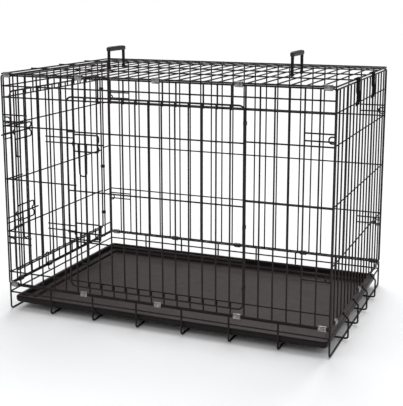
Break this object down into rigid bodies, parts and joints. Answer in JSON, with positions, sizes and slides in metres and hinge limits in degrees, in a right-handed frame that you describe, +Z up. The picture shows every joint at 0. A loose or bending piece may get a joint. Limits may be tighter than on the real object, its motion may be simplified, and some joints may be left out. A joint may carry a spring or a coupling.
{
  "type": "folding wire pet cage",
  "caption": "Folding wire pet cage with hinged panels and lid, front and end doors with slide bolts, carry handles and a slide-out tray.",
  "frame": {"origin": "centre of the bounding box, on the floor", "axes": "+Z up, front face with the long door toward -Y, end with the end door toward -X, latch plates toward +X"},
  "size_m": [0.948, 0.6232, 0.72],
  "materials": {
    "wire": "black powder coat, satin",
    "clips": "zinc plated",
    "tray": "moulded, fine grain",
    "grips": "moulded, satin"
  },
  "bodies": {
    "base": {"base_grid": "wire"},
    "tray": {"tray": "tray"},
    "front": {"front_panel": "wire", "front_bottom_clip_1": "clips", "front_bottom_clip_2": "clips", "front_bottom_clip_3": "clips", "front_bottom_clip_4": "clips", "front_bottom_clip_5": "clips", "front_door_clip_1": "wire", "front_door_clip_2": "wire", "front_door_clip_3": "wire"},
    "back": {"back_panel": "wire", "back_bottom_clip_1": "clips", "back_bottom_clip_2": "clips", "back_bottom_clip_3": "clips", "back_bottom_clip_4": "clips", "back_bottom_clip_5": "clips"},
    "left_end": {"left_end_panel": "wire", "left_bottom_clip_1": "clips", "left_bottom_clip_2": "clips", "left_bottom_clip_3": "clips", "end_door_clip_1": "wire", "end_door_clip_2": "wire", "end_door_clip_3": "wire"},
    "right_end": {"right_end_panel": "wire", "right_bottom_clip_1": "clips", "right_bottom_clip_2": "clips", "right_bottom_clip_3": "clips"},
    "top": {"top_panel": "wire", "front_top_clip_1": "clips", "front_top_clip_2": "clips", "front_top_clip_3": "clips", "front_top_clip_4": "clips", "front_top_clip_5": "clips"},
    "front_door": {"front_door": "wire"},
    "end_door": {"end_door": "wire"},
    "front_bolt_upper": {"front_door_bolt_upper": "wire"},
    "front_bolt_lower": {"front_door_bolt_lower": "wire"},
    "end_bolt_upper": {"end_door_bolt_upper": "wire"},
    "end_bolt_lower": {"end_door_bolt_lower": "wire"},
    "handle_left": {"handle_left": "grips"},
    "handle_right": {"handle_right": "grips"},
    "latch_front": {"top_latch_front": "grips"},
    "latch_back": {"top_latch_back": "grips"},
    "tray_stop": {"tray_stop": "wire"}
  },
  "joints": [
    {"name": "front_fold", "type": "hinge", "parent": "base", "child": "front", "pos_m": [0.0005, -0.29211, 0.07248], "axis": [1, 0, 0], "range_deg": [0, 90]},
    {"name": "back_fold", "type": "hinge", "parent": "base", "child": "back", "pos_m": [0.0005, 0.30789, 0.07248], "axis": [-1, 0, 0], "range_deg": [0, 90]},
    {"name": "left_end_fold", "type": "hinge", "parent": "base", "child": "left_end", "pos_m": [-0.4545, 0.00789, 0.07248], "axis": [0, 1, 0], "range_deg": [0, 87]},
    {"name": "right_end_fold", "type": "hinge", "parent": "base", "child": "right_end", "pos_m": [0.4555, 0.00789, 0.07248], "axis": [0, -1, 0], "range_deg": [0, 90]},
    {"name": "top_lift", "type": "hinge", "parent": "front", "child": "top", "pos_m": [0.0005, -0.29211, 0.65438], "axis": [1, 0, 0], "range_deg": [0, 90]},
    {"name": "front_door_swing", "type": "hinge", "parent": "front", "child": "front_door", "pos_m": [0.2371, -0.29991, 0.34998], "axis": [0, 0, -1], "range_deg": [-110, 0]},
    {"name": "end_door_swing", "type": "hinge", "parent": "left_end", "child": "end_door", "pos_m": [-0.4623, 0.26089, 0.34998], "axis": [0, 0, 1], "range_deg": [-110, 0]},
    {"name": "front_bolt_upper_slide", "type": "slide", "parent": "front_door", "child": "front_bolt_upper", "axis": [-1, 0, 0], "range_m": [-0.025, 0]},
    {"name": "front_bolt_lower_slide", "type": "slide", "parent": "front_door", "child": "front_bolt_lower", "axis": [-1, 0, 0], "range_m": [-0.025, 0]},
    {"name": "end_bolt_upper_slide", "type": "slide", "parent": "end_door", "child": "end_bolt_upper", "axis": [0, -1, 0], "range_m": [-0.025, 0]},
    {"name": "end_bolt_lower_slide", "type": "slide", "parent": "end_door", "child": "end_bolt_lower", "axis": [0, -1, 0], "range_m": [-0.01, 0.025]},
    {"name": "handle_left_swing", "type": "hinge", "parent": "top", "child": "handle_left", "pos_m": [-0.2725, 0.01889, 0.65908], "axis": [0, 1, 0], "range_deg": [-75, 75]},
    {"name": "handle_right_swing", "type": "hinge", "parent": "top", "child": "handle_right", "pos_m": [0.2735, 0.01089, 0.65908], "axis": [0, 1, 0], "range_deg": [-75, 75]},
    {"name": "latch_front_swing", "type": "hinge", "parent": "top", "child": "latch_front", "pos_m": [0.4555, -0.08211, 0.65908], "axis": [0, -1, 0], "range_deg": [0, 100]},
    {"name": "latch_back_swing", "type": "hinge", "parent": "top", "child": "latch_back", "pos_m": [0.4555, 0.10389, 0.65908], "axis": [0, -1, 0], "range_deg": [0, 100]},
    {"name": "tray_slide", "type": "slide", "parent": "base", "child": "tray", "axis": [1, 0, 0], "range_m": [-0.6, 0]},
    {"name": "tray_stop_swing", "type": "hinge", "parent": "left_end", "child": "tray_stop", "pos_m": [-0.4514, -0.10061, 0.10938], "axis": [0, 1, 0], "range_deg": [-90, 0]}
  ]
}
